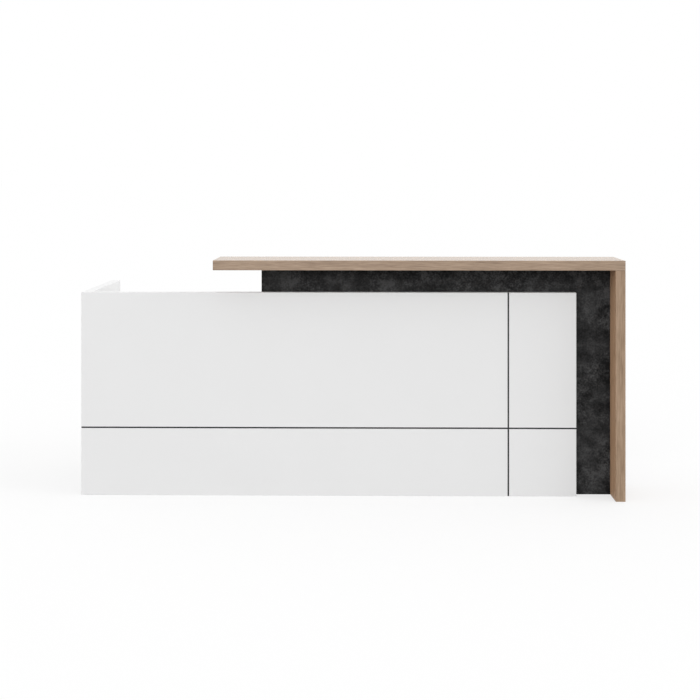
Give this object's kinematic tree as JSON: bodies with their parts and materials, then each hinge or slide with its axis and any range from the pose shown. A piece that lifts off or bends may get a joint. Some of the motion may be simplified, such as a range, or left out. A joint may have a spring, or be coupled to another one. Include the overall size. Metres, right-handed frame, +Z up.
{
  "type": "reception desk",
  "caption": "Reception desk with a white panelled front, a slate-look panel and a raised oak counter that turns down into a leg at one end, with a worktop behind.",
  "frame": {"origin": "on the floor, under the middle of the desk's overall length and depth", "axes": "+X to a visitor's right along the counter, towards the leg; +Y from the visitor's side to the staff side; +Z up"},
  "size_m": [2.513, 0.91, 1.1],
  "materials": {
    "white_board": "satin white melamine on chipboard",
    "oak_board": "matt oak laminate with open grain",
    "slate_board": "matt black slate-look laminate with cloudy mottling",
    "black_inlay": "matt black extruded strip",
    "zinc_steel": "zinc-plated",
    "black_steel": "fine black powder coat",
    "black_plastic": "fine moulded texture",
    "foot_plastic": "moulded pad on a threaded stud"
  },
  "bodies": {
    "desk": {"cable_grommet_left": "black_plastic", "cable_grommet_right": "black_plastic", "cable_tray": "black_steel", "cam_bolt_left_lower": "zinc_steel", "cam_bolt_left_upper": "zinc_steel", "cam_bolt_right_lower": "zinc_steel", "cam_bolt_right_upper": "zinc_steel", "cam_left_lower": "zinc_steel", "cam_left_upper": "zinc_steel", "cam_right_lower": "zinc_steel", "cam_right_upper": "zinc_steel", "centre_gable": "white_board", "counter_bracket_1": "zinc_steel", "counter_bracket_1_top_screw": "zinc_steel", "counter_bracket_1_wall_screw": "zinc_steel", "counter_bracket_2": "zinc_steel", "counter_bracket_2_top_screw": "zinc_steel", "counter_bracket_2_wall_screw": "zinc_steel", "counter_bracket_3": "zinc_steel", "counter_bracket_3_top_screw": "zinc_steel", "counter_bracket_3_wall_screw": "zinc_steel", "counter_leg": "oak_board", "counter_top": "oak_board", "foot_sleeve_gable_front": "zinc_steel", "foot_sleeve_gable_rear": "zinc_steel", "foot_sleeve_left_front": "zinc_steel", "foot_sleeve_left_rear": "zinc_steel", "foot_sleeve_right_front": "zinc_steel", "foot_sleeve_right_rear": "zinc_steel", "front_board_lower_left": "white_board", "front_board_lower_right": "white_board", "front_board_upper_left": "white_board", "front_board_upper_right": "white_board", "front_carrier_board": "white_board", "inlay_strip_level_left": "black_inlay", "inlay_strip_level_right": "black_inlay", "inlay_strip_upright": "black_inlay", "left_side_panel": "white_board", "right_side_panel": "white_board", "slate_panel": "slate_board", "tray_screw_left": "zinc_steel", "tray_screw_right": "zinc_steel", "worktop": "white_board", "worktop_bracket_front": "zinc_steel", "worktop_bracket_front_top_screw": "zinc_steel", "worktop_bracket_front_wall_screw": "zinc_steel", "worktop_bracket_left": "zinc_steel", "worktop_bracket_left_top_screw": "zinc_steel", "worktop_bracket_left_wall_screw": "zinc_steel", "worktop_bracket_right": "zinc_steel", "worktop_bracket_right_top_screw": "zinc_steel", "worktop_bracket_right_wall_screw": "zinc_steel"},
    "foot_left_front": {"levelling_foot_left_front": "foot_plastic"},
    "foot_left_rear": {"levelling_foot_left_rear": "foot_plastic"},
    "foot_gable_front": {"levelling_foot_gable_front": "foot_plastic"},
    "foot_gable_rear": {"levelling_foot_gable_rear": "foot_plastic"},
    "foot_right_front": {"levelling_foot_right_front": "foot_plastic"},
    "foot_right_rear": {"levelling_foot_right_rear": "foot_plastic"},
    "cap_left": {"grommet_cap_left": "black_plastic"},
    "cap_right": {"grommet_cap_right": "black_plastic"}
  },
  "joints": [
    {"name": "foot_left_front_travel", "type": "slide", "parent": "desk", "child": "foot_left_front", "axis": [0, 0, -1], "range_m": [0, 0.012]},
    {"name": "foot_left_rear_travel", "type": "slide", "parent": "desk", "child": "foot_left_rear", "axis": [0, 0, -1], "range_m": [0, 0.012]},
    {"name": "foot_gable_front_travel", "type": "slide", "parent": "desk", "child": "foot_gable_front", "axis": [0, 0, -1], "range_m": [0, 0.012]},
    {"name": "foot_gable_rear_travel", "type": "slide", "parent": "desk", "child": "foot_gable_rear", "axis": [0, 0, -1], "range_m": [0, 0.012]},
    {"name": "foot_right_front_travel", "type": "slide", "parent": "desk", "child": "foot_right_front", "axis": [0, 0, -1], "range_m": [0, 0.012]},
    {"name": "foot_right_rear_travel", "type": "slide", "parent": "desk", "child": "foot_right_rear", "axis": [0, 0, -1], "range_m": [0, 0.012]},
    {"name": "cap_left_turn", "type": "hinge", "parent": "desk", "child": "cap_left", "pos_m": [-0.6146, -0.1492, 0.74], "axis": [0, 0, 1], "continuous": true},
    {"name": "cap_right_turn", "type": "hinge", "parent": "desk", "child": "cap_right", "pos_m": [0.6146, -0.1492, 0.74], "axis": [0, 0, 1], "continuous": true}
  ]
}
